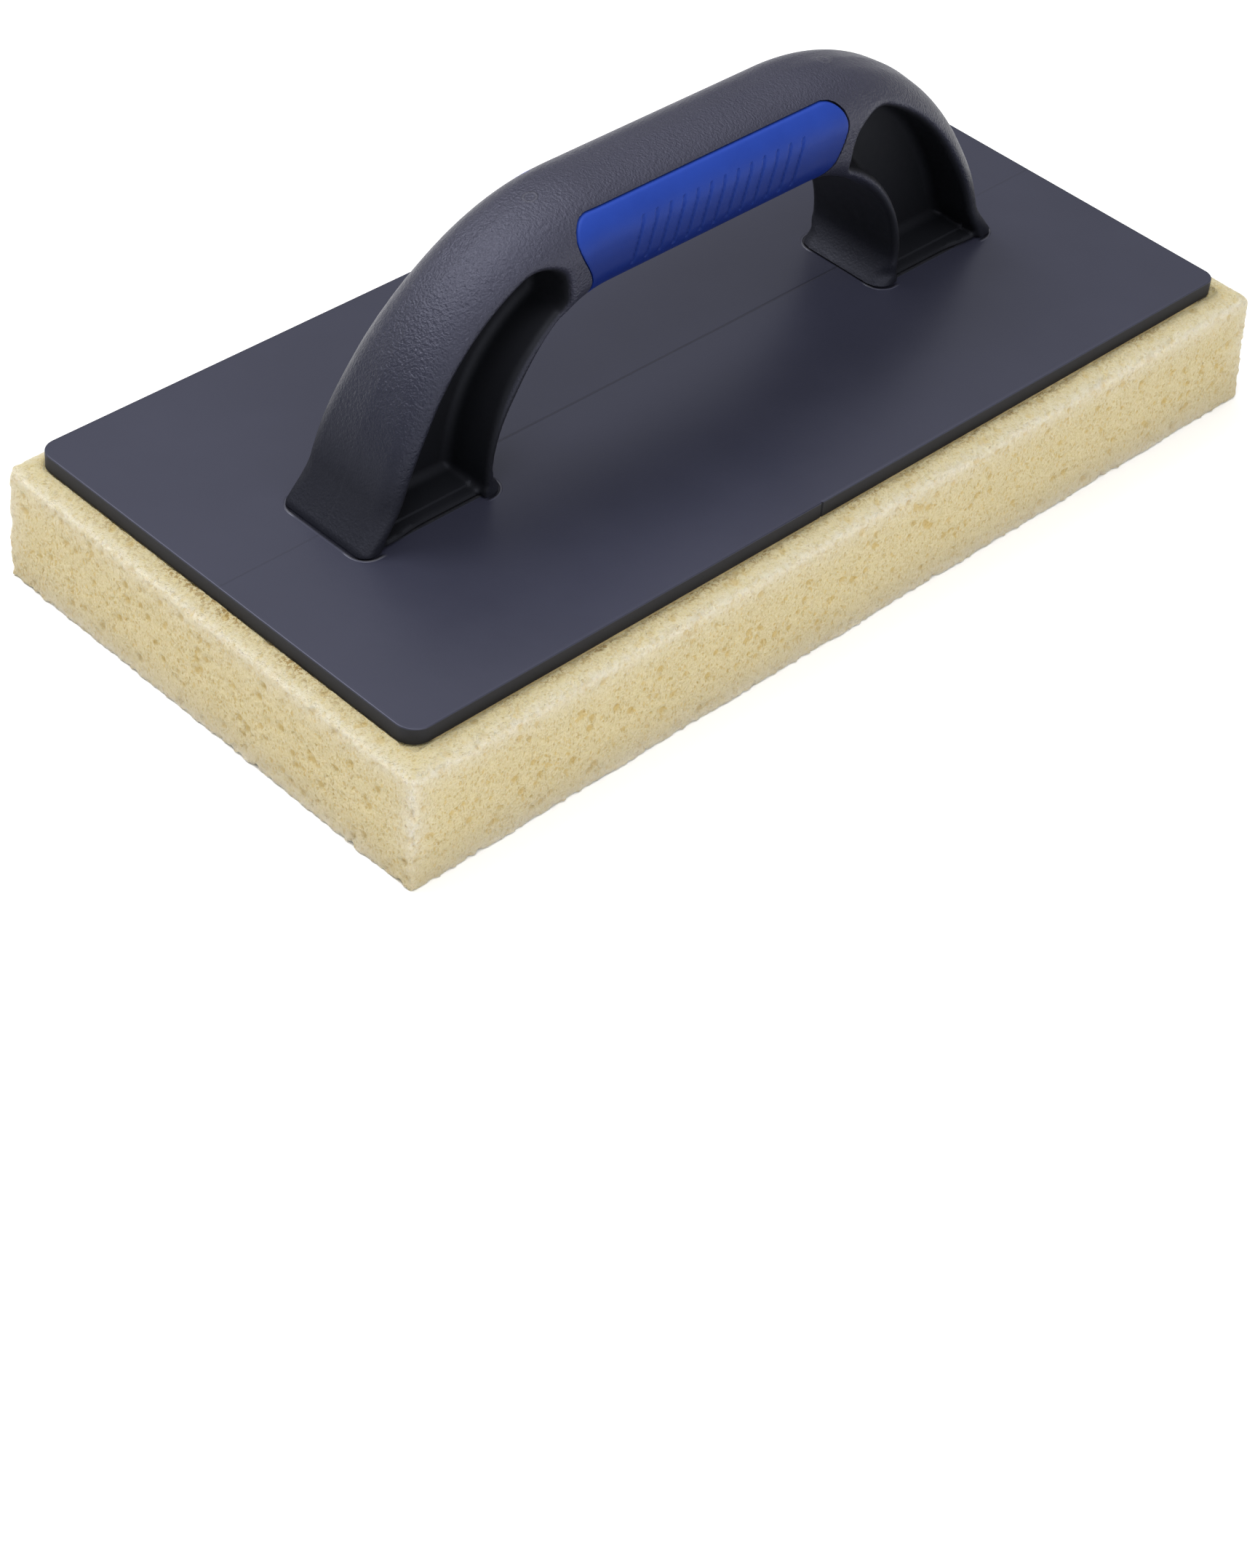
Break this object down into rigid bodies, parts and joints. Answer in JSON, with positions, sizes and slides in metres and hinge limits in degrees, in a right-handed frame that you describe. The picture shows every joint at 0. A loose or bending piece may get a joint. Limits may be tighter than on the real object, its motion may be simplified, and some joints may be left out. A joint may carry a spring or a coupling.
{
  "type": "grout float",
  "caption": "Sponge washing float for grout: a slit foam pad bonded to a rectangular plastic plate, with a D-shaped handle and a soft grip insert.",
  "frame": {"origin": "centre of the sponge's working face, which is the underside", "axes": "+X along the float's length and its handle, +Y across it, +Z from the working face up to the grip"},
  "size_m": [0.28, 0.14, 0.102],
  "materials": {
    "handle_plastic": "spark-eroded satin grain",
    "grip_rubber": "satin soft-touch",
    "plate_plastic": "satin, lightly scuffed",
    "sponge_foam": "open-cell foam",
    "adhesive": "thin glue film"
  },
  "bodies": {
    "root": {"handle": "handle_plastic", "grip_insert": "grip_rubber", "backing_plate": "plate_plastic", "sponge_pad": "sponge_foam", "sponge_adhesive": "adhesive", "left_foot_bond": "handle_plastic", "right_foot_bond": "handle_plastic"}
  },
  "joints": []
}
